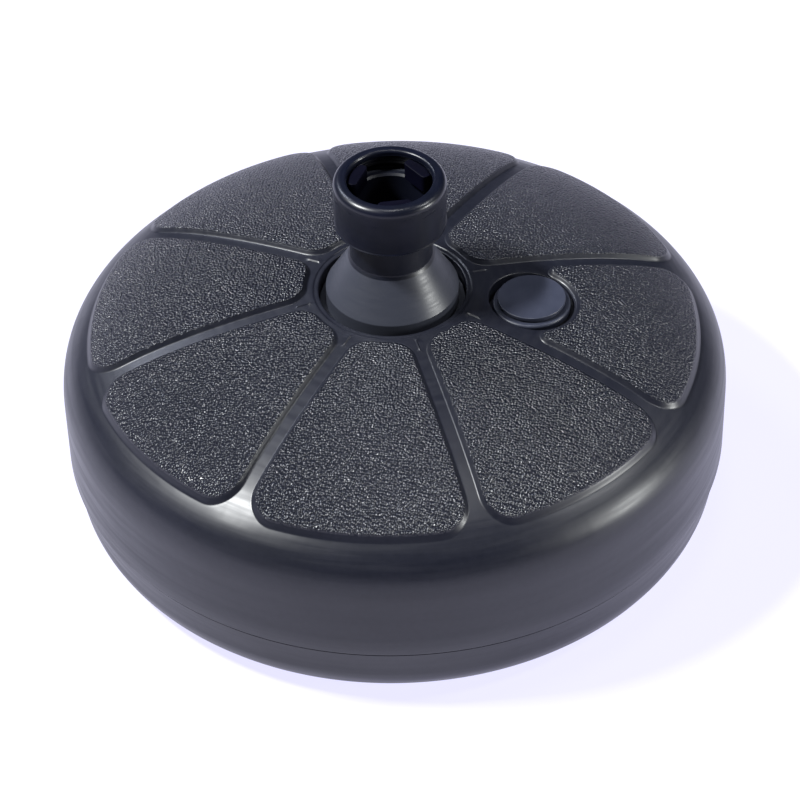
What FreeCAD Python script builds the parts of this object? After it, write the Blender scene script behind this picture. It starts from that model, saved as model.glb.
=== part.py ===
import FreeCAD, Part
import math
import os
import re
import Sketcher

# Round fillable base for a portable hoop or pole.
# Frame: +Z up, origin on the floor under the pole axis, +X through the filler cap.
# Lengths are millimetres and angles are degrees.

DIMENSIONS = {
    # tank
    "tank_radius": 225.0,
    "wall": 3.0,
    "equator_height": 91.0,
    "dome_rise": 78.7,
    "dome_power_out": 1.64,
    "dome_power_up": 2.86,
    "seam_height": 48.0,
    "seam_step": 1.2,
    "seam_fall": 0.8,
    "foot_corner": 30.0,
    "foot_taper": 3.0,
    "foot_inner_radius": 150.0,
    "underside_recess": 6.0,
    "underside_slope": 4.0,
    # raised panels
    "panel_count": 8,
    "panel_rise": 3.0,
    "panel_inner_radius": 58.0,
    "panel_outer_radius": 205.0,
    "groove_half_width": 5.1,
    "panel_inner_corner": 16.0,
    "panel_outer_corner": 18.0,
    # pole well
    "well_radius": 49.2,
    "well_bevel": 1.2,
    "well_floor": 155.0,
    "bore_radius": 27.4,
    "seat_radius": 19.2,
    "seat_floor": 10.0,
    "seat_depth": 20.0,
    "seat_lead_in": 12.0,
    "drain_radius": 4.0,
    # filler
    "filler_offset": 93.0,
    "dish_radius": 28.6,
    "dish_floor": 154.5,
    "dish_clearance": 31.1,
    "neck_radius": 19.4,
    "neck_wall": 4.0,
    "neck_bottom": 136.0,
    "neck_thread_bottom": 140.6,
    "neck_thread_rings": 3,
    # filler cap
    "cap_top": 166.0,
    "cap_disc_radius": 22.7,
    "cap_disc_thickness": 2.2,
    "cap_waist_radius": 21.6,
    "cap_flange_radius": 25.9,
    "cap_flange_top": 162.0,
    "gasket_thickness": 2.5,
    "cap_skirt_radius": 19.0,
    "cap_skirt_bore": 16.0,
    "cap_skirt_bottom": 139.0,
    "cap_thread_depth": 0.8,
    "cap_disc_wall": 2.5,
    "cap_disc_fall": 0.6,
    "cap_disc_round": 0.5,
    "cap_flange_round": 1.6,
    "cap_thread_start": 1.0,
    "cap_thread_rings": 5,
    "gasket_clearance": 0.3,
    "gasket_inset": 0.9,
    # pole socket
    "tube_radius": 27.0,
    "tube_bore": 24.6,
    "tube_bottom": 90.0,
    "lip_radius": 48.3,
    "lip_top": 158.0,
    "cone_radius": 44.3,
    "cone_bottom": 170.3,
    "cone_top": 198.3,
    "cone_wall": 2.6,
    "cone_roof": 8.3,
    "cone_foot_round": 0.8,
    "cone_top_round": 1.5,
    "neck_outer": 27.3,
    "head_bottom": 222.0,
    "head_top": 243.0,
    "head_flare": 4.0,
    "head_bevel": 0.6,
    "head_thread_rings": 5,
    "bore_bevel": 1.4,
    "thread_radius": 32.6,
    "thread_depth": 1.0,
    "thread_pitch": 3.0,
    "thread_gap": 0.5,
    "keyway_overrun": 2.0,
    "key_width": 8.0,
    "key_depth": 3.0,
    "key_play": 0.3,
    # clamp nut
    "nut_radius": 37.0,
    "nut_draft": 0.6,
    "nut_bottom": 223.0,
    "nut_top": 259.3,
    "nut_lip": 3.3,
    "nut_bead": 0.5,
    "nut_mouth_radius": 28.2,
    "nut_thread_radius": 33.0,
    "nut_thread_start": 2.4,
    "nut_thread_end": 21.0,
    "nut_thread_rings": 6,
    "nut_lead_in": 1.4,
    "nut_lip_round": 5.0,
    "nut_mouth_round": 1.9,
    # pressure ring and jaws
    "ring_radius": 32.7,
    "ring_bottom": 248.2,
    "ring_top": 255.8,
    "ring_mouth": 28.0,
    "taper_slope": 0.25,
    "jaw_gap": 0.3,
    "jaw_top": 255.5,
    "jaw_face": 19.4,
    "jaw_half_width": 11.0,
    "jaw_edge_round": 3.0,
    "jaw_rim_round": 0.6,
    "jaw_back_bevel": 1.0,
    "jaw_key_root": 1.0,
    "jaw_key_inner": 25.4,
    "jaw_key_outer": 30.2,
    "jaw_first_angle": 45.0,
    "jaw_count": 3,
}

doc = FreeCAD.newDocument("PoleBase")
sheet = doc.addObject("Spreadsheet::Sheet", "Dims")
for row, (alias, number) in enumerate(DIMENSIONS.items(), start=1):
    sheet.set(f"A{row}", str(number))
    sheet.setAlias(f"A{row}", alias)
doc.recompute()


def dim(alias):
    """Driving dimension read back from the sheet."""
    return float(getattr(sheet, alias))


def bound(expression):
    """Expression with every alias written as a reference to the sheet."""
    def reference(match):
        word = match.group(0)
        return f"Dims.{word}" if word in DIMENSIONS else word
    return re.sub(r"[a-z][a-z_]*", reference, expression)


def plane_of(body, role):
    for feature in body.Origin.OriginFeatures:
        if feature.Role == role:
            return feature
    raise RuntimeError(f"{body.Name} has no {role}")


def pin_point(sketch, geometry, corner, axis_name, expression):
    """Ties one coordinate of a sketch point to the sheet."""
    value = float(sketch.evalExpression(bound(expression)))
    if abs(value) < 1e-9:
        axis = -2 if axis_name == "DistanceX" else -1
        sketch.addConstraint(Sketcher.Constraint("PointOnObject", geometry, corner, axis))
        return
    index = sketch.addConstraint(
        Sketcher.Constraint(axis_name, -1, 1, geometry, corner, value))
    sketch.setExpression(f"Constraints[{index}]", bound(expression))


def polygon_sketch(body, name, points, role="XZ_Plane", lift=None):
    """Closed polygon whose corners are pairs of sheet expressions."""
    sketch = body.newObject("Sketcher::SketchObject", name)
    sketch.AttachmentSupport = [(plane_of(body, role), "")]
    sketch.MapMode = "FlatFace"
    if lift:
        sketch.setExpression("AttachmentOffset.Base.z", bound(lift))
    doc.recompute()
    corners = [FreeCAD.Vector(float(sketch.evalExpression(bound(x))),
                              float(sketch.evalExpression(bound(y))), 0)
               for x, y in points]
    count = len(corners)
    for i in range(count):
        sketch.addGeometry(Part.LineSegment(corners[i], corners[(i + 1) % count]), False)
    for i in range(count):
        sketch.addConstraint(Sketcher.Constraint("Coincident", i, 2, (i + 1) % count, 1))
    for i, (x, y) in enumerate(points):
        pin_point(sketch, i, 1, "DistanceX", x)
        pin_point(sketch, i, 1, "DistanceY", y)
    doc.recompute()
    return sketch


def turned_body(label, points):
    """Body of revolution about its own Z axis."""
    body = doc.addObject("PartDesign::Body", label)
    body.Label = label
    sketch = polygon_sketch(body, f"{label}_profile", points)
    turn = body.newObject("PartDesign::Revolution", f"{label}_turn")
    turn.Profile = sketch
    turn.ReferenceAxis = (sketch, ["V_Axis"])
    turn.Angle = 360
    body.Tip = turn
    doc.recompute()
    return body


def round_rims(body, radius, height, size):
    """Rounds the circular edges that lie at a given radius and height."""
    base = body.Tip
    want_radius = float(sheet.evalExpression(bound(radius)))
    want_height = float(sheet.evalExpression(bound(height)))
    names = []
    for index, edge in enumerate(base.Shape.Edges, start=1):
        if isinstance(edge.Curve, Part.Circle):
            level = edge.Curve.Center.z
            if abs(edge.Curve.Radius - want_radius) < 0.01 and abs(level - want_height) < 0.01:
                names.append(f"Edge{index}")
    if not names:
        raise RuntimeError(f"{body.Label}: no rim at {want_radius}, {want_height}")
    rounding = body.newObject("PartDesign::Fillet", f"{body.Label}_round")
    rounding.Base = (base, names)
    rounding.Radius = float(sheet.evalExpression(bound(size)))
    rounding.setExpression("Radius", bound(size))
    body.Tip = rounding
    doc.recompute()


def thread_rings(crest, root, bottom, rings, pitch="thread_pitch"):
    """Corners of a stack of ring-shaped thread teeth, from the bottom up."""
    corners = []
    for ring in range(int(dim(rings))):
        start = f"{bottom} + {ring} * {pitch}"
        corners.append((root, start))
        corners.append((crest, f"{start} + 0.3 * {pitch}"))
        corners.append((crest, f"{start} + 0.5 * {pitch}"))
        corners.append((root, f"{start} + 0.8 * {pitch}"))
    return corners


# ---------------------------------------------------------------- tank shell

def vector(radius, height):
    return FreeCAD.Vector(radius, 0, height)


def dome_curve(first_radius, last_radius, inset=0.0, raised=0.0):
    """Superellipse meridian of the dome between two radii."""
    reach = dim("tank_radius") - inset
    rise = dim("dome_rise") - inset
    power_out = dim("dome_power_out")
    power_up = dim("dome_power_up")

    def turn_angle(radius):
        return math.asin((radius / reach) ** (power_out / 2))

    first = turn_angle(first_radius)
    last = turn_angle(last_radius)
    stations = 16
    points = []
    for i in range(stations + 1):
        angle = first + (last - first) * i / stations
        radius = reach * math.sin(angle) ** (2 / power_out)
        up = max(math.cos(angle), 0.0) ** (2 / power_up)
        points.append(vector(radius, dim("equator_height") + raised + rise * up))
    curve = Part.BSplineCurve()
    curve.interpolate(points)
    return curve.toShape(), points[0], points[-1]


def polyline(points):
    return [Part.makeLine(a, b) for a, b in zip(points, points[1:])]


def turned_face(edges):
    face = Part.Face(Part.Wire(edges))
    return face.revolve(FreeCAD.Vector(0, 0, 0), FreeCAD.Vector(0, 0, 1), 360)


def foot_arc(outer_radius, corner, bottom):
    """Quarter arc from the side wall down to the underside."""
    centre_radius = outer_radius - corner
    half = math.sqrt(0.5) * corner
    return Part.Arc(vector(outer_radius, bottom + corner),
                    vector(centre_radius + half, bottom + corner - half),
                    vector(centre_radius, bottom)).toShape()


def tank_outside():
    radius = dim("tank_radius")
    seam = dim("seam_height")
    foot_radius = radius - dim("seam_step") - dim("foot_taper")
    foot = foot_radius - dim("foot_corner")
    recess = dim("underside_recess")
    ring = dim("foot_inner_radius")
    bevel = dim("well_bevel")
    dome, dome_start, dome_end = dome_curve(dim("well_radius") + bevel, radius)
    seat_top = dim("seat_floor") + dim("seat_depth")
    bore_bottom = seat_top + dim("seat_lead_in")
    well = [vector(dim("drain_radius"), recess),
            vector(dim("drain_radius"), dim("seat_floor")),
            vector(dim("seat_radius"), dim("seat_floor")),
            vector(dim("seat_radius"), seat_top),
            vector(dim("bore_radius"), bore_bottom),
            vector(dim("bore_radius"), dim("well_floor")),
            vector(dim("well_radius"), dim("well_floor")),
            vector(dim("well_radius"), dome_start.z - bevel),
            dome_start]
    side = [dome_end,
            vector(radius, seam),
            vector(radius - dim("seam_step"), seam - dim("seam_fall")),
            vector(foot_radius, dim("foot_corner"))]
    under = [vector(foot, 0),
             vector(ring, 0),
             vector(ring - dim("underside_slope"), recess),
             vector(dim("drain_radius"), recess)]
    edges = polyline(well) + [dome] + polyline(side)
    edges += [foot_arc(foot_radius, dim("foot_corner"), 0)] + polyline(under)
    return turned_face(edges)


def tank_cavity():
    wall = dim("wall")
    radius = dim("tank_radius") - wall
    seam = dim("seam_height")
    corner = dim("foot_corner") - wall
    foot_radius = radius - dim("seam_step") - dim("foot_taper")
    ring = dim("foot_inner_radius")
    recess = dim("underside_recess")
    bore = dim("bore_radius") + wall
    seat = dim("seat_radius") + wall
    slack = wall / 3
    seat_top = dim("seat_floor") + dim("seat_depth") - slack
    dome, dome_start, dome_end = dome_curve(dim("well_radius") + wall, radius, inset=wall)
    well = [vector(seat, recess + wall),
            vector(seat, seat_top),
            vector(bore, seat_top + dim("seat_lead_in")),
            vector(bore, dim("well_floor") - wall),
            vector(dim("well_radius") + wall, dim("well_floor") - wall),
            dome_start]
    side = [dome_end,
            vector(radius, seam + slack),
            vector(radius - dim("seam_step"), seam - dim("seam_fall") - slack),
            vector(foot_radius, corner + wall)]
    under = [vector(foot_radius - corner, wall),
             vector(ring + wall / 2, wall),
             vector(ring + wall / 2 - dim("underside_slope"), recess + wall),
             vector(seat, recess + wall)]
    edges = polyline(well) + [dome] + polyline(side)
    edges += [foot_arc(foot_radius, corner, wall)] + polyline(under)
    return turned_face(edges)


def corner_centre(distance, offset):
    """Centre of a corner arc, a given distance out and offset from the groove's middle."""
    half_angle = math.pi / dim("panel_count")
    along = math.sqrt(distance ** 2 - offset ** 2)
    x = along * math.cos(half_angle) + offset * math.sin(half_angle)
    y = along * math.sin(half_angle) - offset * math.cos(half_angle)
    return x, y


def panel_outline():
    """Petal outline centred on +X: two arcs, two straight sides, four round corners."""
    inner = dim("panel_inner_radius")
    outer = dim("panel_outer_radius")
    groove = dim("groove_half_width")
    small = dim("panel_inner_corner")
    large = dim("panel_outer_corner")
    half_angle = math.pi / dim("panel_count")
    ox, oy = corner_centre(outer - large, groove + large)
    ix, iy = corner_centre(inner + small, groove + small)
    out_angle = math.atan2(oy, ox)
    in_angle = math.atan2(iy, ix)
    side_angle = half_angle + math.pi / 2

    def at(x, y, radius, angle):
        return FreeCAD.Vector(x + radius * math.cos(angle), y + radius * math.sin(angle), 0)

    def mirrored(point):
        return FreeCAD.Vector(point.x, -point.y, 0)

    a = at(ox, oy, large, out_angle)
    b = at(ox, oy, large, (out_angle + side_angle) / 2)
    c = at(ox, oy, large, side_angle)
    d = at(ix, iy, small, side_angle)
    e = at(ix, iy, small, (in_angle + math.pi + side_angle) / 2)
    f = at(ix, iy, small, in_angle + math.pi)
    upper = [Part.Arc(a, b, c).toShape(), Part.makeLine(c, d), Part.Arc(d, e, f).toShape()]
    inner_arc = Part.Arc(f, FreeCAD.Vector(inner, 0, 0), mirrored(f)).toShape()
    lower = [Part.Arc(mirrored(f), mirrored(e), mirrored(d)).toShape(),
             Part.makeLine(mirrored(d), mirrored(c)),
             Part.Arc(mirrored(c), mirrored(b), mirrored(a)).toShape()]
    outer_arc = Part.Arc(mirrored(a), FreeCAD.Vector(outer, 0, 0), a).toShape()
    return Part.Wire(upper + [inner_arc] + lower + [outer_arc])


def panel_layer():
    """Skin of the dome, from just under its surface to the top of the panels."""
    beyond = 10
    first = dim("panel_inner_radius") - beyond
    last = dim("panel_outer_radius") + beyond
    low, low_start, low_end = dome_curve(first, last, raised=-dim("wall") / 3)
    high, high_start, high_end = dome_curve(first, last, raised=dim("panel_rise"))
    return turned_face([low, Part.makeLine(low_end, high_end), high,
                        Part.makeLine(high_start, low_start)])


def raised_panels():
    above_dome = dim("equator_height") + 1.5 * dim("dome_rise")
    column = Part.Face(panel_outline()).extrude(FreeCAD.Vector(0, 0, above_dome))
    petal = panel_layer().common(column)
    step = 360 / dim("panel_count")
    panels = []
    for index in range(int(dim("panel_count"))):
        panel = petal.copy()
        panel.rotate(FreeCAD.Vector(0, 0, 0), FreeCAD.Vector(0, 0, 1), index * step)
        if index == 0:
            around_dish = filler_cylinder("dish_clearance", dim("equator_height"), above_dome)
            panel = panel.cut(around_dish)
        panels.append(panel)
    # The petal under the cap keeps only its outer part, outside the cap's dish.
    outer_part = [s for s in panels[0].Solids if s.CenterOfMass.x > dim("filler_offset")]
    return outer_part + panels[1:]


def filler_cylinder(radius, bottom, height):
    size = dim(radius) if isinstance(radius, str) else radius
    centre = FreeCAD.Vector(dim("filler_offset"), 0, bottom)
    return Part.makeCylinder(size, height, centre)


def neck_thread():
    """Ring-shaped grooves that leave the filler neck's thread teeth standing."""
    crest = "neck_radius"
    root = "neck_radius + cap_thread_depth"
    corners = thread_rings(crest, root, "neck_thread_bottom", "neck_thread_rings")
    outline = [vector(float(sheet.evalExpression(bound(radius))),
                      float(sheet.evalExpression(bound(height))))
               for radius, height in corners]
    foot = outline[0].z
    top = foot + dim("neck_thread_rings") * dim("thread_pitch")
    outline = [vector(0, foot)] + outline + [vector(outline[0].x, top), vector(0, top)]
    grooves = turned_face(polyline(outline + outline[:1]))
    grooves.translate(FreeCAD.Vector(dim("filler_offset"), 0, 0))
    return grooves


def tank_shape():
    outside = tank_outside()
    floor = dim("dish_floor")
    wall = dim("wall")
    above = 40.0
    cup = filler_cylinder(dim("dish_radius") + wall, floor - wall, above).common(outside)
    neck_height = floor - dim("neck_bottom")
    neck = filler_cylinder(dim("neck_radius") + dim("neck_wall"), dim("neck_bottom"), neck_height)
    dish = filler_cylinder("dish_radius", floor, above)
    hole = filler_cylinder("neck_radius", dim("neck_bottom") - 1, neck_height + above)
    shell = outside.cut(tank_cavity()).fuse([cup, neck])
    shell = shell.fuse(raised_panels())
    return shell.cut([dish, hole, neck_thread()]).removeSplitter()


def make_tank_shell():
    tank = doc.addObject("Part::Feature", "tank_shell")
    tank.Label = "tank_shell"
    tank.Shape = tank_shape()
    tank.Placement = FreeCAD.Placement()
    return tank


# --------------------------------------------------------------- pole socket

def make_pole_socket():
    hollow_radius = "cone_radius - cone_wall"
    profile = [
        ("tube_bore", "tube_bottom"),
        ("tube_radius", "tube_bottom"),
        ("tube_radius", "cone_top - cone_roof"),
        ("tube_radius + 0.7 * cone_wall", "cone_top - cone_roof"),
        (hollow_radius, "cone_bottom - 0.6 * cone_wall"),
        (hollow_radius, "well_floor"),
        ("lip_radius", "well_floor"),
        ("lip_radius", "lip_top"),
        ("cone_radius", "lip_top"),
        ("cone_radius", "cone_bottom"),
        ("neck_outer", "cone_top"),
        ("neck_outer", "head_bottom"),
    ]
    root = "thread_radius - thread_depth"
    profile.append((root, "head_bottom + head_flare"))
    profile += thread_rings("thread_radius", root, "head_bottom + head_flare + thread_gap",
                            "head_thread_rings")
    profile += [
        (root, "head_top - head_bevel"),
        (f"{root} - head_bevel", "head_top"),
        ("tube_bore + bore_bevel", "head_top"),
        ("tube_bore", "head_top - bore_bevel"),
    ]
    body = turned_body("pole_socket", profile)
    round_rims(body, "cone_radius", "cone_bottom", "cone_foot_round")
    round_rims(body, "neck_outer", "cone_top", "cone_top_round")
    cut_keyways(body)
    return body


def cut_keyways(body):
    """Radial keyways across the socket's rim, one under each jaw."""
    inside = "tube_bore - keyway_overrun"
    outside = "thread_radius + keyway_overrun"
    corners = [(inside, "-key_width / 2"),
               (outside, "-key_width / 2"),
               (outside, "key_width / 2"),
               (inside, "key_width / 2")]
    sketch = polygon_sketch(body, "keyway_outline", corners, "XY_Plane", "head_top")
    sketch.AttachmentOffset = FreeCAD.Placement(
        FreeCAD.Vector(0, 0, dim("head_top")),
        FreeCAD.Rotation(FreeCAD.Vector(0, 0, 1), dim("jaw_first_angle")))
    sketch.setExpression("AttachmentOffset.Base.z", bound("head_top"))
    before = body.Tip.Shape.Volume
    keyway = body.newObject("PartDesign::Pocket", "keyway")
    keyway.Profile = sketch
    keyway.setExpression("Length", bound("key_depth"))
    body.Tip = keyway
    doc.recompute()
    pattern = body.newObject("PartDesign::PolarPattern", "keyways")
    pattern.Originals = [keyway]
    pattern.Axis = (plane_of(body, "Z_Axis"), [""])
    pattern.Angle = 360
    pattern.setExpression("Occurrences", bound("jaw_count"))
    body.Tip = pattern
    doc.recompute()
    if body.Tip.Shape.Volume >= before:
        raise RuntimeError("keyways removed nothing")


# ----------------------------------------------------------------- clamp nut

def make_clamp_nut():
    crest = "nut_thread_radius"
    root = "nut_thread_radius + thread_depth"
    profile = [
        ("nut_thread_radius + nut_lead_in", "nut_bottom"),
        ("nut_radius - nut_draft", "nut_bottom"),
        ("nut_radius - nut_draft + nut_bead", "nut_bottom + nut_bead"),
        ("nut_radius - nut_draft + nut_bead", "nut_bottom + 1.4 * nut_bead"),
        ("nut_radius - nut_draft", "nut_bottom + 2.6 * nut_bead"),
        ("nut_radius", "nut_top - nut_lip_round - 1"),
        ("nut_radius", "nut_top"),
        ("nut_mouth_radius", "nut_top"),
        ("nut_mouth_radius", "nut_top - nut_lip"),
        (crest, "nut_top - nut_lip"),
        (crest, "nut_bottom + nut_thread_end"),
    ]
    profile += list(reversed(thread_rings(crest, root, "nut_bottom + nut_thread_start",
                                          "nut_thread_rings")))
    body = turned_body("clamp_nut", profile)
    round_rims(body, "nut_radius", "nut_top", "nut_lip_round")
    round_rims(body, "nut_mouth_radius", "nut_top", "nut_mouth_round")
    return body


def make_pressure_ring():
    height = "(ring_top - ring_bottom)"
    groove = 0.4
    profile = [
        (f"ring_radius - {groove}", "ring_bottom"),
        ("ring_radius", f"ring_bottom + {groove}"),
        ("ring_radius", "ring_top"),
        ("ring_mouth", "ring_top"),
    ]
    # Fine rings in the taper, from the mouth down.
    for fraction in (0.25, 0.6):
        level = f"ring_top - {fraction} * {height}"
        reach = f"ring_mouth + taper_slope * {fraction} * {height}"
        profile += [
            (reach, level),
            (f"{reach} + (1 + taper_slope) * {groove}", f"{level} - {groove}"),
            (f"{reach} + 2 * taper_slope * {groove}", f"{level} - 2 * {groove}"),
        ]
    profile.append((f"ring_mouth + taper_slope * {height}", "ring_bottom"))
    return turned_body("pressure_ring", profile)


# ---------------------------------------------------------------------- jaws

def jaw_wedge():
    """Wedge on +X between a flat gripping face and the ring's taper."""
    bottom = dim("head_top") + dim("key_play")
    top = dim("jaw_top")
    slope = dim("taper_slope")
    back_top = dim("ring_mouth") - dim("jaw_gap") + slope * (dim("ring_top") - top)
    back_bottom = back_top + slope * (top - bottom)
    chamfer = dim("jaw_back_bevel")
    back = Part.makeCone(back_bottom, back_top, top - bottom, FreeCAD.Vector(0, 0, bottom))
    bevel = Part.makeCone(back_top - chamfer + top - bottom, back_top - chamfer, top - bottom,
                          FreeCAD.Vector(0, 0, bottom))
    half = dim("jaw_half_width")
    face = dim("jaw_face")
    reach = dim("nut_radius") - face
    block = Part.makeBox(reach, 2 * half, top - bottom, FreeCAD.Vector(face, -half, bottom))
    upright = [e for e in block.Edges
               if abs(e.tangentAt(e.FirstParameter).z) > 0.9
               and abs(e.CenterOfMass.x - face) < 0.01]
    block = block.makeFillet(dim("jaw_edge_round"), upright)
    rims = [e for e in block.Edges
            if abs(e.CenterOfMass.z - top) < 0.01 and e.CenterOfMass.x < face + 3]
    block = block.makeFillet(dim("jaw_rim_round"), rims)
    return block.common(back).common(bevel)


def jaw_key():
    """Key under the wedge, which slides in the socket's keyway."""
    width = dim("key_width") - 2 * dim("key_play")
    low = dim("head_top") - dim("key_depth") + dim("key_play")
    inside_wedge = dim("head_top") + dim("jaw_key_root")
    start = dim("jaw_key_inner")
    length = dim("jaw_key_outer") - start
    corner = FreeCAD.Vector(start, -width / 2, low)
    return Part.makeBox(length, width, inside_wedge - low, corner)


def make_jaws():
    shape = jaw_wedge().fuse(jaw_key()).removeSplitter()
    step = 360 / dim("jaw_count")
    jaws = []
    for index in range(int(dim("jaw_count"))):
        name = f"clamp_jaw_{index + 1}"
        jaw = doc.addObject("Part::Feature", name)
        jaw.Label = name
        jaw.Shape = shape.copy()
        turn = FreeCAD.Rotation(FreeCAD.Vector(0, 0, 1), dim("jaw_first_angle") + index * step)
        jaw.Placement = FreeCAD.Placement(FreeCAD.Vector(0, 0, 0), turn)
        jaws.append(jaw)
    return jaws


# --------------------------------------------------------------- filler cap

def over_filler(body):
    body.setExpression("Placement.Base.x", bound("filler_offset"))
    doc.recompute()
    return body


def make_filler_cap():
    flange_bottom = "dish_floor + gasket_thickness"
    root = "cap_skirt_radius - cap_thread_depth"
    profile = [
        ("0", "cap_top"),
        ("cap_disc_radius", "cap_top"),
        ("cap_disc_radius", "cap_top - cap_disc_thickness"),
        ("cap_waist_radius", "cap_top - cap_disc_thickness - cap_disc_fall"),
        ("cap_waist_radius", "cap_flange_top"),
        ("cap_flange_radius", "cap_flange_top"),
        ("cap_flange_radius", flange_bottom),
        (root, flange_bottom),
    ]
    profile += list(reversed(thread_rings("cap_skirt_radius", root,
                                          "cap_skirt_bottom + cap_thread_start",
                                          "cap_thread_rings")))
    profile += [
        (root, "cap_skirt_bottom"),
        ("cap_skirt_bore", "cap_skirt_bottom"),
        ("cap_skirt_bore", "cap_top - cap_disc_wall"),
        ("0", "cap_top - cap_disc_wall"),
    ]
    body = turned_body("filler_cap", profile)
    round_rims(body, "cap_disc_radius", "cap_top", "cap_disc_round")
    round_rims(body, "cap_flange_radius", "cap_flange_top", "cap_flange_round")
    return over_filler(body)


def make_cap_gasket():
    inside = "cap_skirt_radius + gasket_clearance"
    outside = "cap_flange_radius - gasket_inset"
    profile = [
        (inside, "dish_floor"),
        (outside, "dish_floor"),
        (outside, "dish_floor + gasket_thickness"),
        (inside, "dish_floor + gasket_thickness"),
    ]
    return over_filler(turned_body("cap_gasket", profile))


sub_parts = [
    make_tank_shell(),
    make_pole_socket(),
    make_clamp_nut(),
    make_pressure_ring(),
    make_filler_cap(),
    make_cap_gasket(),
]
sub_parts += make_jaws()
doc.recompute()

for item in doc.Objects:
    if "Invalid" in item.State or "Error" in item.State:
        raise RuntimeError(f"{item.Label} failed: {item.State}")
for sub_part in sub_parts:
    shape = sub_part.Shape
    if shape.isNull() or not shape.isValid():
        raise RuntimeError(f"{sub_part.Label} has no valid shape")

os.makedirs("parts", exist_ok=True)
for sub_part in sub_parts:
    sub_part.Shape.exportStep(f"parts/{sub_part.Label}.step")
    box = sub_part.Shape.BoundBox
    print(f"{sub_part.Label}: {len(sub_part.Shape.Solids)} solid, "
          f"{sub_part.Shape.Volume / 1000:.1f} cm3, z {box.ZMin:.1f} to {box.ZMax:.1f}")
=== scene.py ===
"""Looks of a round fillable pole base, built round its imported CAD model.

The CAD frame's sizes are millimetres in this script and are scaled to metres as each mesh is made.
+Z is up, the pole's axis is the Z axis, and the filler cap lies on +X.
"""

import math

import bpy
import numpy as np
from mathutils import Matrix, Vector
from mathutils.geometry import delaunay_2d_cdt


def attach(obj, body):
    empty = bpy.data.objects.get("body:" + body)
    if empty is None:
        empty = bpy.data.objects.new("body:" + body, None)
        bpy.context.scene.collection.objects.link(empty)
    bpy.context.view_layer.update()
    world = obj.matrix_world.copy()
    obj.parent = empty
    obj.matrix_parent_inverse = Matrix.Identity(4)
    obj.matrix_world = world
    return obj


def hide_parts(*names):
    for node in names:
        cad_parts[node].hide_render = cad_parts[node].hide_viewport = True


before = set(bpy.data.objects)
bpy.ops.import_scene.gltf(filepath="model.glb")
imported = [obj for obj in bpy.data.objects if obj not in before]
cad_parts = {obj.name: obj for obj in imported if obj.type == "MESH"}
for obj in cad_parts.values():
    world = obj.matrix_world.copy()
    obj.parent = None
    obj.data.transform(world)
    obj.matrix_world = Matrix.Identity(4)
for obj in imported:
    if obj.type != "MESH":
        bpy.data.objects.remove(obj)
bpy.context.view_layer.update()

MM = 0.001

# ---------------------------------------------------------------- tank sizes

TANK_RADIUS = 225.0
WALL = 3.0
EQUATOR = 91.0
DOME_RISE = 78.7
DOME_POWER_OUT = 1.64
DOME_POWER_UP = 2.86
SEAM = 48.0
FOOT_CORNER = 30.0
FOOT_RADIUS = 220.8
FOOT_RING = 150.0
RECESS = 6.0

PANELS = 8
PANEL_RISE = 3.0
PANEL_INNER = 58.0
PANEL_OUTER = 205.0
GROOVE_HALF = 5.1
INNER_CORNER = 16.0
OUTER_CORNER = 18.0
CUT_CORNER = 5.5
CUT_RADIUS = 31.1

WELL = 49.2
WELL_FLOOR = 155.0
WELL_BORE = 27.4
SEAT = 19.2
SEAT_FLOOR = 10.0
SEAT_TOP = 30.0
LEAD_IN_TOP = 42.0
DRAIN = 4.0

FILLER = 93.0
DISH = 28.6
DISH_FLOOR = 154.5
NECK = 19.4
NECK_OUTSIDE = 23.4
NECK_BOTTOM = 136.0
THREAD_BOTTOM = 140.6
THREAD_RINGS = 3
THREAD_PITCH = 3.0
THREAD_DEPTH = 0.8

POLE = (0.0, 0.0)
SHEET_EDGE = 214.0
RIM_SEGMENTS = 360
WELL_SEGMENTS = 180
DISH_SEGMENTS = 120


def dome(radius, inset=0.0):
    """Height of the tank's domed top at a distance from the pole's axis."""
    share = np.clip(np.asarray(radius, float) / (TANK_RADIUS - inset), 0, 1) ** DOME_POWER_OUT
    return EQUATOR + (DOME_RISE - inset) * (1 - share) ** (1 / DOME_POWER_UP)


def dome_points(first_radius, count, inset=0.0):
    """Meridian from a radius down to the widest ring, as (radius, height) pairs."""
    reach = TANK_RADIUS - inset
    start = math.asin((first_radius / reach) ** (DOME_POWER_OUT / 2))
    angles = start + (math.pi / 2 - start) * np.linspace(0, 1, count + 1) ** 0.8
    up = np.clip(np.cos(angles), 0, 1) ** (2 / DOME_POWER_UP)
    return [(reach * math.sin(a) ** (2 / DOME_POWER_OUT), EQUATOR + (DOME_RISE - inset) * u)
            for a, u in zip(angles, up)]


# ------------------------------------------------------------- panel outlines

HALF_ANGLE = math.pi / PANELS
ALONG_GROOVE = np.array([math.cos(HALF_ANGLE), math.sin(HALF_ANGLE)])
OFF_GROOVE = np.array([math.sin(HALF_ANGLE), -math.cos(HALF_ANGLE)])


def arc(centre, radius, start, end, count):
    angles = np.linspace(start, end, count)
    return np.column_stack([centre[0] + radius * np.cos(angles),
                            centre[1] + radius * np.sin(angles)])


def closed_ring(centre, radius, count):
    """Evenly spaced points round a whole circle."""
    return arc(centre, radius, 0, 2 * math.pi, count + 1)[:-1]


def corner_centre(distance, offset):
    """Point a given distance from the pole's axis and a given offset from the groove's middle."""
    return (ALONG_GROOVE * math.sqrt(distance ** 2 - offset ** 2) + OFF_GROOVE * offset)


def both_halves(upper):
    """Closed outline from its upper half, which starts and ends on the +X axis."""
    return np.concatenate([upper, (upper * [1, -1])[-2:0:-1]])


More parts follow.
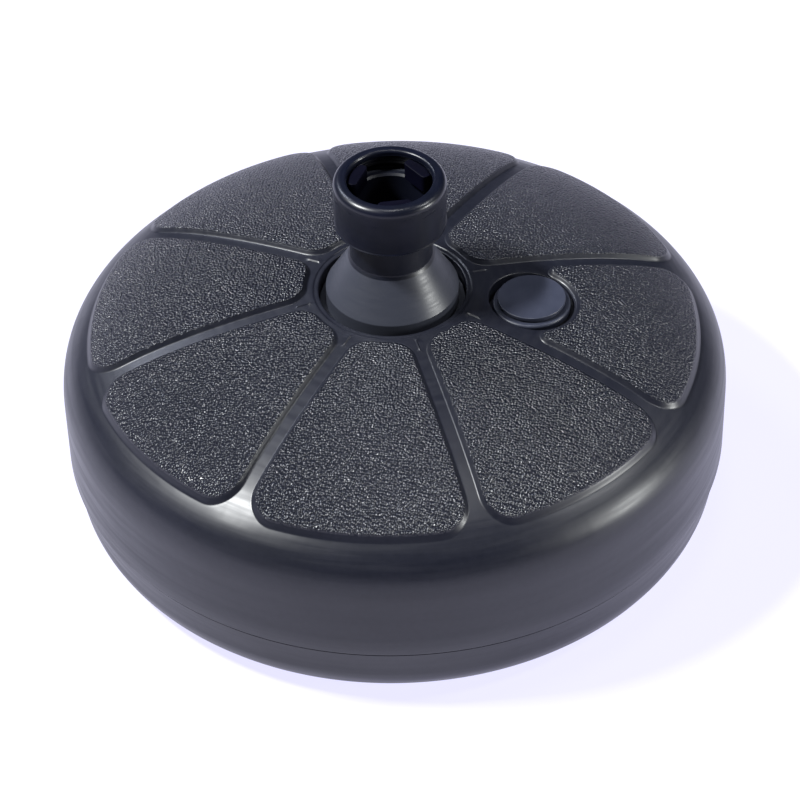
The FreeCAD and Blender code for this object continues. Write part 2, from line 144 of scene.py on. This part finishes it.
def outer_half(inset):
    """Upper half of a panel's rim: the outer arc, its corner, and where the side starts."""
    centre = corner_centre(PANEL_OUTER - OUTER_CORNER, GROOVE_HALF + OUTER_CORNER)
    turn = math.atan2(centre[1], centre[0])
    rim = arc((0, 0), PANEL_OUTER - inset, 0, turn, 26)
    corner = arc(centre, OUTER_CORNER - inset, turn, HALF_ANGLE + math.pi / 2, 15)
    return np.concatenate([rim, corner[1:]])


def petal_outline(inset):
    """Outline of a whole panel, moved inwards by an inset."""
    rim = outer_half(inset)
    centre = corner_centre(PANEL_INNER + INNER_CORNER, GROOVE_HALF + INNER_CORNER)
    turn = math.atan2(centre[1], centre[0]) + math.pi
    corner = arc(centre, INNER_CORNER - inset, HALF_ANGLE + math.pi / 2, turn, 13)
    side = rim[-1] + (corner[0] - rim[-1]) * np.linspace(0, 1, 56)[:, None]
    end = arc((0, 0), PANEL_INNER + inset, turn - math.pi, 0, 7)
    return both_halves(np.concatenate([rim, side[1:], corner[1:], end[1:]]))


def cut_outline(inset):
    """Outline of the panel beside the filler, hollowed round the filler's dish."""
    rim = outer_half(inset)
    foot = FILLER * math.cos(HALF_ANGLE)
    aside = FILLER * math.sin(HALF_ANGLE) - GROOVE_HALF - CUT_CORNER
    reach = foot + math.sqrt((CUT_RADIUS + CUT_CORNER) ** 2 - aside ** 2)
    centre = ALONG_GROOVE * reach + OFF_GROOVE * (GROOVE_HALF + CUT_CORNER)
    turn = math.atan2(centre[1], centre[0] - FILLER) + math.pi
    corner = arc(centre, CUT_CORNER - inset, HALF_ANGLE + math.pi / 2, turn, 11)
    side = rim[-1] + (corner[0] - rim[-1]) * np.linspace(0, 1, 44)[:, None]
    hollow = arc((FILLER, 0), CUT_RADIUS + inset, turn - math.pi, 0, 24)
    return both_halves(np.concatenate([rim, side[1:], corner[1:], hollow[1:]]))


def turned(points, angle):
    c, s = math.cos(angle), math.sin(angle)
    return points @ np.array([[c, s], [-s, c]])


def panel_inset(points, index):
    """How far inside a panel's straight and round sides the points lie; negative is outside."""
    local = turned(points, -index * 2 * HALF_ANGLE)
    local[:, 1] = np.abs(local[:, 1])
    radius = np.hypot(local[:, 0], local[:, 1])
    to_side = local @ OFF_GROOVE - GROOVE_HALF
    inset = np.minimum(PANEL_OUTER - radius, to_side)
    if index == 0:
        to_dish = np.hypot(local[:, 0] - FILLER, local[:, 1]) - CUT_RADIUS
        inset = np.minimum(inset, to_dish)
        inset[local[:, 0] < FILLER] = -100.0
    else:
        inset = np.minimum(inset, radius - PANEL_INNER)
    inset[local[:, 0] < 0] = -100.0
    return inset


# ---------------------------------------------------------------- mesh maker

class MeshParts:
    """Collects vertices in millimetres, faces, and how grained each vertex is."""

    def __init__(self):
        self.points = []
        self.faces = []
        self.grain = []

    def add(self, points, grain=0.0):
        """Adds points and returns their indices."""
        start = len(self.points)
        self.points += [tuple(p) for p in points]
        self.grain += list(np.broadcast_to(grain, len(points)))
        return list(range(start, len(self.points)))

    def bridge(self, upper, lower):
        """Band of quads between two closed rings of the same length."""
        count = len(upper)
        for i in range(count):
            j = (i + 1) % count
            self.faces.append((upper[i], lower[i], lower[j], upper[j]))

    def skirt(self, ring, profile, centre=(0.0, 0.0), flip=False):
        """Turns a profile of (radius, height) pairs on from a ring, and returns the last ring."""
        count = len(ring)
        first = self.points[ring[0]]
        start = math.atan2(first[1] - centre[1], first[0] - centre[0])
        angles = start + 2 * math.pi * np.arange(count) / count
        for radius, height in profile:
            below = self.add([(centre[0] + radius * math.cos(a),
                               centre[1] + radius * math.sin(a), height) for a in angles])
            if flip:
                self.bridge(below, ring)
            else:
                self.bridge(ring, below)
            ring = below
        return ring

    def make(self, name, sharp_degrees=38.0):
        mesh = bpy.data.meshes.new(name)
        mesh.from_pydata([tuple(v * MM for v in p) for p in self.points], [], self.faces)
        attribute = mesh.attributes.new("grain", "FLOAT", "POINT")
        attribute.data.foreach_set("value", np.array(self.grain, np.float32))
        mesh.shade_smooth()
        mesh.set_sharp_from_angle(angle=math.radians(sharp_degrees))
        piece = bpy.data.objects.new(name, mesh)
        bpy.context.scene.collection.objects.link(piece)
        return piece


def triangulated(plan, loops, is_hole, indices):
    """Triangles over plan points, keeping the loops' edges and leaving the holes open."""
    edges = [(loop[i], loop[(i + 1) % len(loop)]) for loop in loops for i in range(len(loop))]
    found = delaunay_2d_cdt([Vector(p) for p in plan], edges, [], 0, 1e-5)
    vertices, triangles, sources = found[0], found[2], found[3]
    corner = [indices[source[0]] for source in sources]
    places = np.array([[v.x, v.y] for v in vertices])
    faces = []
    for triangle in triangles:
        middle = places[list(triangle)].mean(0)
        if not is_hole(middle):
            faces.append(tuple(corner[i] for i in triangle))
    return faces


def hex_grid(reach, spacing):
    rows = np.arange(-reach, reach, spacing * math.sqrt(0.75))
    points = [(x + (spacing / 2 if i % 2 else 0), y)
              for i, y in enumerate(rows) for x in np.arange(-reach, reach, spacing)]
    return np.array(points)


# -------------------------------------------------------------------- tank top

WALL_HALF = 1.65
WALL_INSETS = (-3.2, -2.2, -1.7, -1.45, -1.15, -0.8, -0.4, 0.0,
               0.4, 0.8, 1.15, 1.45, 1.7, 2.3, 3.4, 5.2)
GRAIN_START = 0.9
GRAIN_FADE = 1.0
RIDGE_HEIGHT = 0.75
RIDGE_HALF = 0.8
RIDGE_START = 55.0
RIDGE_END = 67.0
RING_STEP = 52.8
RING_DEPTH = 0.6
RING_BLEND = 1.0
RIM_RINGS = (209.6, 211.6)
STEP_RINGS = (51.4, 52.3, 52.55, 52.8, 53.05, 53.3, 54.2)
WELL_EASE = 1.0
DISH_EASE = 0.5
TOP_SPACING = 4.0
CEILING_SPACING = 12.0


def wall_height(inset):
    """Rounded wall of a panel: 0 in the groove, 1 on top."""
    share = np.clip((inset + WALL_HALF) / (2 * WALL_HALF), 0, 1)
    return share * share * (3 - 2 * share)


def ring_step(radius):
    """Shallow step down to the ring round the well."""
    share = np.clip((np.asarray(radius, float) - RING_STEP) / RING_BLEND + 0.5, 0, 1)
    return -RING_DEPTH * (1 - share * share * (3 - 2 * share))


class TopPoints:
    """Plan points of the tank's top, with their lift above the dome and their grain."""

    def __init__(self):
        self.plan = []
        self.lift = []
        self.grain = []

    def add(self, points, lift=0.0, grain=0.0):
        start = sum(len(p) for p in self.plan)
        self.plan.append(np.asarray(points, float))
        self.lift.append(np.broadcast_to(lift, len(points)))
        self.grain.append(np.broadcast_to(grain, len(points)))
        return list(range(start, start + len(points)))

    def merged(self):
        return (np.concatenate(self.plan), np.concatenate(self.lift),
                np.concatenate(self.grain))


def add_panel_rings(top):
    for index in range(PANELS):
        for inset in WALL_INSETS:
            ring = cut_outline(inset) if index == 0 else petal_outline(inset)
            if index == 0 and inset < -WALL_HALF + 0.2:
                clear = np.hypot(ring[:, 0] - FILLER, ring[:, 1]) > DISH + 1.2
                ring = ring[clear]
            ring = turned(ring, index * 2 * HALF_ANGLE)
            lift = PANEL_RISE * float(wall_height(inset))
            top.add(ring, lift, float(np.clip((inset - GRAIN_START) / GRAIN_FADE, 0, 1)))


def add_grooves(top):
    """Middle lines of the grooves, with a short ridge at each inner end."""
    across = np.array([-ALONG_GROOVE[1], ALONG_GROOVE[0]])
    for index in range(PANELS):
        angle = index * 2 * HALF_ANGLE
        for radius in np.arange(RIDGE_START - 1, PANEL_OUTER - 4, 1.6):
            middle = ALONG_GROOVE * radius
            ends = np.clip(min(radius - RIDGE_START, RIDGE_END - radius) / 2, 0, 1)
            top.add(turned(np.array([middle]), angle), RIDGE_HEIGHT * ends)
            if RIDGE_START - 2 < radius < RIDGE_END + 2:
                for side in (-RIDGE_HALF, RIDGE_HALF):
                    top.add(turned(np.array([middle + across * side]), angle))


def add_fill(top):
    """Even points over the panels and the smooth ground between them."""
    grid = hex_grid(SHEET_EDGE, TOP_SPACING)
    radius = np.hypot(grid[:, 0], grid[:, 1])
    around = np.hypot(grid[:, 0] - FILLER, grid[:, 1])
    grid = grid[(radius > 57.5) & (radius < 207.0) & (around > DISH + 2.5)]
    inset = np.max([panel_inset(grid, index) for index in range(PANELS)], axis=0)
    groove = np.abs(np.mod(np.arctan2(grid[:, 1], grid[:, 0]), 2 * HALF_ANGLE) - HALF_ANGLE)
    from_middle = np.hypot(grid[:, 0], grid[:, 1]) * np.sin(groove)
    top.add(grid[inset > 7.0], PANEL_RISE, 1.0)
    top.add(grid[(inset < -4.5) & (from_middle > 2.2)])


def tank_top(parts):
    """The domed top as a sheet. Returns the rings at its rim, well and dish."""
    top = TopPoints()
    rim = top.add(closed_ring(POLE, SHEET_EDGE, RIM_SEGMENTS))
    for radius in RIM_RINGS:
        top.add(closed_ring(POLE, radius, RIM_SEGMENTS))
    well = top.add(closed_ring(POLE, WELL + WELL_EASE, WELL_SEGMENTS))
    for radius in STEP_RINGS:
        top.add(closed_ring(POLE, radius, WELL_SEGMENTS))
    dish = top.add(closed_ring((FILLER, 0), DISH + DISH_EASE, DISH_SEGMENTS))
    add_panel_rings(top)
    add_grooves(top)
    add_fill(top)

    plan, lift, grain = top.merged()
    radius = np.hypot(plan[:, 0], plan[:, 1])
    height = dome(radius) + lift + ring_step(radius)
    indices = parts.add(np.column_stack([plan, height]), grain)

    def is_hole(middle):
        in_well = math.hypot(*middle) < WELL + WELL_EASE - 0.001
        in_dish = math.hypot(middle[0] - FILLER, middle[1]) < DISH + DISH_EASE - 0.01
        return in_well or in_dish

    parts.faces += triangulated(plan, [rim, well, dish], is_hole, indices)
    return [[indices[i] for i in ring] for ring in (rim, well, dish)]


# ----------------------------------------------------------- rest of the tank

def foot_profile(reach, corner, bottom, count=14):
    """Arc from the side wall to the underside."""
    angles = np.linspace(0, math.pi / 2, count)
    return [(reach - corner + corner * math.cos(a), bottom + corner - corner * math.sin(a))
            for a in angles]


def side_profile():
    """Outside of the tank from the top sheet's rim, over the moulding line, to the drain."""
    side = dome_points(SHEET_EDGE, 26)[1:]
    side += [(TANK_RADIUS, h) for h in (84.0, 74.0, 62.0, SEAM + 1.0)]
    side += [(TANK_RADIUS - 0.25, SEAM + 0.35), (TANK_RADIUS - 1.9, SEAM - 0.1),
             (TANK_RADIUS - 1.9, SEAM - 0.9), (TANK_RADIUS - 1.2, SEAM - 1.3)]
    side += foot_profile(FOOT_RADIUS, FOOT_CORNER, 0.0)
    side += [(170.0, 0.0), (FOOT_RING, 0.0), (FOOT_RING - 4, RECESS), (80.0, RECESS),
             (DRAIN, RECESS)]
    return side


def well_profile(edge_height):
    """Wall of the well from its rim, down its bore and the pole's seat, to the drain."""
    return [(WELL + 0.55, edge_height - 0.1), (WELL + 0.2, edge_height - 0.4),
            (WELL, edge_height - 0.9), (WELL, WELL_FLOOR + 0.4), (WELL - 0.4, WELL_FLOOR),
            (38.0, WELL_FLOOR), (WELL_BORE, WELL_FLOOR), (WELL_BORE, 98.0),
            (WELL_BORE, LEAD_IN_TOP), (SEAT, SEAT_TOP), (SEAT, SEAT_FLOOR),
            (DRAIN, SEAT_FLOOR), (DRAIN, RECESS)]


def cavity_profile():
    """Inside of the tank from the ceiling's rim, round the floor, up to the well."""
    reach = TANK_RADIUS - WALL
    inside = dome_points(SHEET_EDGE - 4, 16, WALL)[1:]
    inside += [(reach, SEAM + 1.0), (reach - 1.2, SEAM - 1.8)]
    inside += foot_profile(FOOT_RADIUS - WALL, FOOT_CORNER - WALL, WALL)
    inside += [(FOOT_RING + 1.5, WALL), (FOOT_RING - 2.5, RECESS + WALL),
               (SEAT + WALL, RECESS + WALL), (SEAT + WALL, SEAT_TOP - 1),
               (WELL_BORE + WALL, LEAD_IN_TOP - 1), (WELL_BORE + WALL, WELL_FLOOR - WALL),
               (WELL + WALL, WELL_FLOOR - WALL), (WELL + WALL, float(dome(WELL + WALL, WALL)))]
    return inside


def tank_ceiling(parts):
    """Underside of the dome, with the filler's cup hanging from it. Returns rim, well and cup."""
    top = TopPoints()
    rim = top.add(closed_ring(POLE, SHEET_EDGE - 4, DISH_SEGMENTS))
    well = top.add(closed_ring(POLE, WELL + WALL, DISH_SEGMENTS))
    cup = top.add(closed_ring((FILLER, 0), DISH + WALL, DISH_SEGMENTS))
    grid = hex_grid(SHEET_EDGE, CEILING_SPACING)
    radius = np.hypot(grid[:, 0], grid[:, 1])
    around = np.hypot(grid[:, 0] - FILLER, grid[:, 1])
    top.add(grid[(radius > WELL + 6) & (radius < SHEET_EDGE - 8) & (around > DISH + 6)])
    plan = top.merged()[0]
    height = dome(np.hypot(plan[:, 0], plan[:, 1]), WALL)
    indices = parts.add(np.column_stack([plan, height]))

    def is_hole(middle):
        in_well = math.hypot(*middle) < WELL + WALL - 0.01
        in_cup = math.hypot(middle[0] - FILLER, middle[1]) < DISH + WALL - 0.01
        return in_well or in_cup

    faces = triangulated(plan, [rim, well, cup], is_hole, indices)
    parts.faces += [face[::-1] for face in faces]
    return [[indices[i] for i in ring] for ring in (rim, well, cup)]


def build_tank():
    parts = MeshParts()
    rim, well, dish = tank_top(parts)
    underside = parts.skirt(rim, side_profile())
    edge_height = parts.points[well[0]][2]
    drain = parts.skirt(well, well_profile(edge_height), flip=True)
    close_drain(parts, underside, drain)

    ceiling_rim, ceiling_well, cup = tank_ceiling(parts)
    inner = parts.skirt(ceiling_rim, cavity_profile()[:-1], flip=True)
    parts.bridge(ceiling_well, inner)
    build_dish(parts, dish, cup)
    return parts.make("tank_top_and_walls")


def close_drain(parts, underside, drain):
    """Joins the underside to the drain hole, whose ring has half as many points."""
    ratio = len(underside) // len(drain)
    for i in range(len(drain)):
        j = (i + 1) % len(drain)
        outer = [underside[(i * ratio + k) % len(underside)] for k in range(ratio + 1)]
        parts.faces.append(tuple(outer + [drain[j], drain[i]]))


def neck_thread():
    """Ring-shaped thread teeth inside the filler's neck, from the top down."""
    root = NECK + THREAD_DEPTH
    top = THREAD_BOTTOM + THREAD_RINGS * THREAD_PITCH
    profile = [(NECK, top), (root, top)]
    for ring in reversed(range(THREAD_RINGS)):
        start = THREAD_BOTTOM + ring * THREAD_PITCH
        profile += [(root, start + 0.8 * THREAD_PITCH), (NECK, start + 0.5 * THREAD_PITCH),
                    (NECK, start + 0.3 * THREAD_PITCH), (root, start)]
    return profile + [(NECK, THREAD_BOTTOM)]


def build_dish(parts, dish, cup):
    """The filler's dish, neck and the outside of its cup."""
    edge = dish
    for radius, drop in ((DISH + 0.2, 0.15), (DISH, 0.55)):
        ring = []
        for index in edge:
            x, y, _ = parts.points[index]
            scale = radius / math.hypot(x - FILLER, y)
            px, py = FILLER + (x - FILLER) * scale, y * scale
            ring.append((px, py, float(dome(math.hypot(px, py))) - drop))
        below = parts.add(ring)
        parts.bridge(below, edge)
        edge = below
    neck = [(DISH, DISH_FLOOR), (NECK + 0.5, DISH_FLOOR), (NECK, DISH_FLOOR - 0.5)]
    neck += neck_thread()
    neck += [(NECK, NECK_BOTTOM), (NECK_OUTSIDE, NECK_BOTTOM), (NECK_OUTSIDE, DISH_FLOOR - WALL),
             (DISH + WALL, DISH_FLOOR - WALL)]
    last = parts.skirt(edge, neck, (FILLER, 0.0), flip=True)
    parts.bridge(cup, last)


# ------------------------------------------------------------------ materials

class Shader:
    """Short way to build one procedural plastic."""

    def __init__(self, name):
        self.material = bpy.data.materials.new(name)
        self.material.use_nodes = True
        self.tree = self.material.node_tree
        self.surface = self.tree.nodes["Principled BSDF"]
        self.place = self.node("ShaderNodeTexCoord").outputs["Object"]

    def node(self, kind, **settings):
        made = self.tree.nodes.new(kind)
        for key, value in settings.items():
            setattr(made, key, value)
        return made

    def link(self, source, target):
        self.tree.links.new(source, target)

    def noise(self, scale, detail=3.0, stretch=(1, 1, 1), roughness=0.5):
        mapping = self.node("ShaderNodeMapping")
        mapping.inputs["Scale"].default_value = stretch
        self.link(self.place, mapping.inputs["Vector"])
        noise = self.node("ShaderNodeTexNoise")
        noise.inputs["Scale"].default_value = scale
        noise.inputs["Detail"].default_value = detail
        noise.inputs["Roughness"].default_value = roughness
        self.link(mapping.outputs["Vector"], noise.inputs["Vector"])
        return noise.outputs["Fac"]

    def axis_distance(self):
        """Distance from the piece's own Z axis."""
        across = self.node("ShaderNodeVectorMath", operation="MULTIPLY")
        self.link(self.place, across.inputs[0])
        across.inputs[1].default_value = (1, 1, 0)
        away = self.node("ShaderNodeVectorMath", operation="LENGTH")
        self.link(across.outputs["Vector"], away.inputs[0])
        return away.outputs["Value"]

    def streaks_round_axis(self, fineness, length):
        """Noise drawn out into streaks that run round the pole's axis."""
        parts = self.node("ShaderNodeSeparateXYZ")
        self.link(self.place, parts.inputs[0])
        angle = self.math("ARCTAN2", parts.outputs["Y"], parts.outputs["X"])
        polar = self.node("ShaderNodeCombineXYZ")
        self.link(self.math("MULTIPLY", self.axis_distance(), fineness), polar.inputs["X"])
        self.link(self.math("MULTIPLY", angle, length), polar.inputs["Y"])
        self.link(self.math("MULTIPLY", parts.outputs["Z"], fineness), polar.inputs["Z"])
        noise = self.node("ShaderNodeTexNoise")
        noise.inputs["Scale"].default_value = 1.0
        noise.inputs["Detail"].default_value = 4.0
        self.link(polar.outputs["Vector"], noise.inputs["Vector"])
        return noise.outputs["Fac"]

    def math(self, operation, a, b):
        node = self.node("ShaderNodeMath", operation=operation)
        for socket, value in zip(node.inputs, (a, b)):
            if isinstance(value, (int, float)):
                socket.default_value = value
            else:
                self.link(value, socket)
        return node.outputs[0]

    def span(self, value, low, high, to_low=0.0, to_high=1.0):
        node = self.node("ShaderNodeMapRange")
        for key, number in (("From Min", low), ("From Max", high),
                            ("To Min", to_low), ("To Max", to_high)):
            node.inputs[key].default_value = number
        self.link(value, node.inputs["Value"])
        return node.outputs["Result"]

    def blend(self, factor, dark, light):
        mix = self.node("ShaderNodeMix", data_type="RGBA")
        mix.inputs["A"].default_value = (*dark, 1)
        mix.inputs["B"].default_value = (*light, 1)
        self.link(factor, mix.inputs["Factor"])
        return mix.outputs["Result"]

    def bump(self, height, distance, strength=1.0, under=None):
        bump = self.node("ShaderNodeBump")
        bump.inputs["Distance"].default_value = distance
        bump.inputs["Strength"].default_value = strength
        self.link(height, bump.inputs["Height"])
        if under is not None:
            self.link(under, bump.inputs["Normal"])
        return bump.outputs["Normal"]


GRAIN_ROUGHNESS = 0.29
# Painted shade on the socket: inside this radius from the axis (bore and neck) its colour is
# darkened as if in shadow, blending over the edge width.
SHADED_CORE_RADIUS = 28.6 * MM
SHADED_CORE_EDGE = 0.3 * MM


def tank_plastic():
    """Satin black plastic with a pebble grain where the mesh is marked as grained."""
    shader = Shader("tank_plastic")
    grained = shader.node("ShaderNodeAttribute", attribute_name="grain").outputs["Fac"]
    cells = shader.node("ShaderNodeTexVoronoi", feature="F1", voronoi_dimensions="2D")
    cells.inputs["Scale"].default_value = 540.0
    cells.inputs["Randomness"].default_value = 0.8
    shader.link(shader.place, cells.inputs["Vector"])
    outwards = shader.span(cells.outputs["Distance"], 0.0, 0.8)
    pebbles = shader.math("SUBTRACT", 1.0, shader.math("POWER", outwards, 2.0))
    uneven = shader.span(shader.noise(300.0, 2.0), 0.35, 0.65, 0.7, 1.0)
    height = shader.math("MULTIPLY", shader.math("MULTIPLY", pebbles, uneven), grained)
    normal = shader.bump(shader.noise(45.0, 2.0), 0.0006, 0.35)
    normal = shader.bump(height, 0.0011, 1.0, normal)
    shader.link(normal, shader.surface.inputs["Normal"])

    tone = shader.math("ADD", shader.math("MULTIPLY", shader.noise(9.0, 4.0), 0.6),
                       shader.math("MULTIPLY", shader.noise(260.0, 3.0), 0.4))
    colour = shader.blend(shader.span(tone, 0.35, 0.65), (0.007, 0.008, 0.014),
                          (0.012, 0.013, 0.021))
    shader.link(colour, shader.surface.inputs["Base Color"])
    polish = shader.span(shader.streaks_round_axis(260.0, 3.0), 0.3, 0.7, 0.31, 0.43)
    smooth = shader.math("MULTIPLY", polish, shader.math("SUBTRACT", 1.0, grained))
    rough = shader.math("ADD", smooth, shader.math("MULTIPLY", grained, GRAIN_ROUGHNESS))
    shader.link(rough, shader.surface.inputs["Roughness"])
    return shader.material


def moulded_plastic(name, dark, light, roughness, gloss=0.5, shaded_core=False):
    """Smooth satin plastic with turning marks; with shaded_core, the part near the pole's axis
    gets painted shade.
    """
    shader = Shader(name)
    # Painted shade: darker colour near the axis for the bore and the neck under the nut.
    if shaded_core:
        share = shader.span(shader.axis_distance(), SHADED_CORE_RADIUS, SHADED_CORE_RADIUS + SHADED_CORE_EDGE)
    else:
        share = shader.span(shader.noise(60.0, 4.0), 0.3, 0.7)
    shader.link(shader.blend(share, dark, light), shader.surface.inputs["Base Color"])
    marks = shader.streaks_round_axis(700.0, 2.0)
    shader.link(shader.span(marks, 0.3, 0.7, roughness - 0.05, roughness + 0.05),
                shader.surface.inputs["Roughness"])
    shader.surface.inputs["Specular IOR Level"].default_value = gloss
    normal = shader.bump(marks, 0.00005, 0.5)
    shader.link(normal, shader.surface.inputs["Normal"])
    return shader.material


def paint(node, material):
    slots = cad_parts[node].data.materials
    slots.clear()
    slots.append(material)


# --------------------------------------------------------------- light, camera

CAMERA_TARGET = Vector((9.83, -49.54, 110.98)) * MM
CAMERA_DISTANCE = 2101.0 * MM
CAMERA_AZIMUTH = math.radians(7.56)
CAMERA_PITCH = math.radians(41.825)
CAMERA_ROLL = math.radians(-1.419)
CAMERA_LENS = 141.9
LAMP_DISTANCE = 3.0
LAMP_AIM = Vector((0, 0, 0.12))
FLOOR_REACH = 30.0
GLOW_NEAR = 0.7
GLOW_FAR = 2.8


def add_camera():
    data = bpy.data.cameras.new("camera")
    data.lens = CAMERA_LENS
    data.sensor_width = 36.0
    data.clip_start = 0.1
    data.clip_end = 60.0
    camera = bpy.data.objects.new("camera", data)
    turn = (Matrix.Rotation(CAMERA_AZIMUTH, 4, "Z")
            @ Matrix.Rotation(math.pi / 2 - CAMERA_PITCH, 4, "X")
            @ Matrix.Rotation(CAMERA_ROLL, 4, "Z"))
    back = turn.to_3x3() @ Vector((0, 0, CAMERA_DISTANCE))
    camera.matrix_world = Matrix.Translation(CAMERA_TARGET + back) @ turn
    bpy.context.scene.collection.objects.link(camera)
    bpy.context.scene.camera = camera


def add_light(name, azimuth, elevation, width, height, power, colour):
    """Soft box aimed at the tank; its azimuth is counted from the camera's right."""
    data = bpy.data.lights.new(name, "AREA")
    data.shape = "RECTANGLE"
    data.size = width
    data.size_y = height
    data.energy = power
    data.color = colour
    lamp = bpy.data.objects.new(name, data)
    turn = CAMERA_AZIMUTH + math.radians(azimuth)
    lift = math.radians(elevation)
    direction = Vector((math.cos(lift) * math.cos(turn), math.cos(lift) * math.sin(turn),
                        math.sin(lift)))
    lamp.matrix_world = (Matrix.Translation(LAMP_AIM + direction * LAMP_DISTANCE)
                         @ direction.to_track_quat("Z", "Y").to_matrix().to_4x4())
    bpy.context.scene.collection.objects.link(lamp)


def add_floor():
    """Plain pale light table, a little brighter near the object."""
    mesh = bpy.data.meshes.new("floor")
    reach = FLOOR_REACH
    mesh.from_pydata([(-reach, -reach, 0), (reach, -reach, 0), (reach, reach, 0),
                      (-reach, reach, 0)], [], [(0, 1, 2, 3)])
    floor = bpy.data.objects.new("floor", mesh)
    bpy.context.scene.collection.objects.link(floor)
    shader = Shader("floor_light_table")
    tint = shader.blend(shader.noise(3.0), (0.14, 0.14, 0.14), (0.16, 0.16, 0.16))
    shader.link(tint, shader.surface.inputs["Base Color"])
    shader.surface.inputs["Roughness"].default_value = 0.9
    shader.surface.inputs["Specular IOR Level"].default_value = 0.1
    shader.surface.inputs["Emission Color"].default_value = (0.77, 0.76, 1.0, 1)
    glow = shader.span(shader.axis_distance(), GLOW_NEAR, GLOW_FAR, 1.05, 0.5)
    shader.link(glow, shader.surface.inputs["Emission Strength"])
    mesh.materials.append(shader.material)


def add_studio():
    world = bpy.data.worlds.new("studio")
    bpy.context.scene.world = world
    world.use_nodes = True
    sky = world.node_tree.nodes["Background"]
    sky.inputs["Color"].default_value = (0.75, 0.8, 1.0, 1)
    sky.inputs["Strength"].default_value = 0.03
    add_floor()
    add_light("key", -175, 55, 0.5, 0.15, 168, (0.98, 1.0, 1.0))
    add_light("top", 0, 88, 0.5, 0.5, 16, (0.98, 0.99, 1.0))
    add_light("low_right", -17, 10, 0.5, 0.5, 54, (0.98, 1.0, 0.98))
    add_light("high_right", -5, 47, 0.4, 0.4, 28, (0.97, 0.99, 1.0))
    add_light("back_left", 135, 45, 0.6, 0.6, 30, (0.78, 0.84, 1.0))


# ---------------------------------------------------------------------- build

def main():
    tank = build_tank()
    tank.data.materials.append(tank_plastic())
    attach(tank, "tank")
    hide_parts("tank_shell")

    # The socket's dark colour near the axis is painted shade on its bore and neck; the lighter
    # colour is the cone's own.
    socket = moulded_plastic("socket_plastic", (0.003, 0.004, 0.010), (0.032, 0.035, 0.048), 0.4,
                             shaded_core=True)
    nut = moulded_plastic("nut_plastic", (0.002, 0.003, 0.008), (0.004, 0.005, 0.013), 0.32, 0.4)
    # The jaws' near-black colour is painted shade for the nut's shadowed mouth; their low gloss
    # keeps them dark there too.
    jaw = moulded_plastic("jaw_plastic", (0.001, 0.001, 0.004), (0.002, 0.002, 0.007), 0.5, 0.06)
    lid = moulded_plastic("cap_plastic", (0.024, 0.028, 0.046), (0.034, 0.038, 0.06), 0.41)
    seal = moulded_plastic("seal_rubber", (0.008, 0.008, 0.008), (0.012, 0.012, 0.012), 0.75)
    paint("pole_socket", socket)
    paint("clamp_nut", nut)
    paint("pressure_ring", nut)
    for number in (1, 2, 3):
        paint(f"clamp_jaw_{number}", jaw)
    paint("filler_cap", lid)
    paint("cap_gasket", seal)
    add_camera()
    add_studio()
    bpy.context.scene.view_settings.view_transform = "Standard"


main()
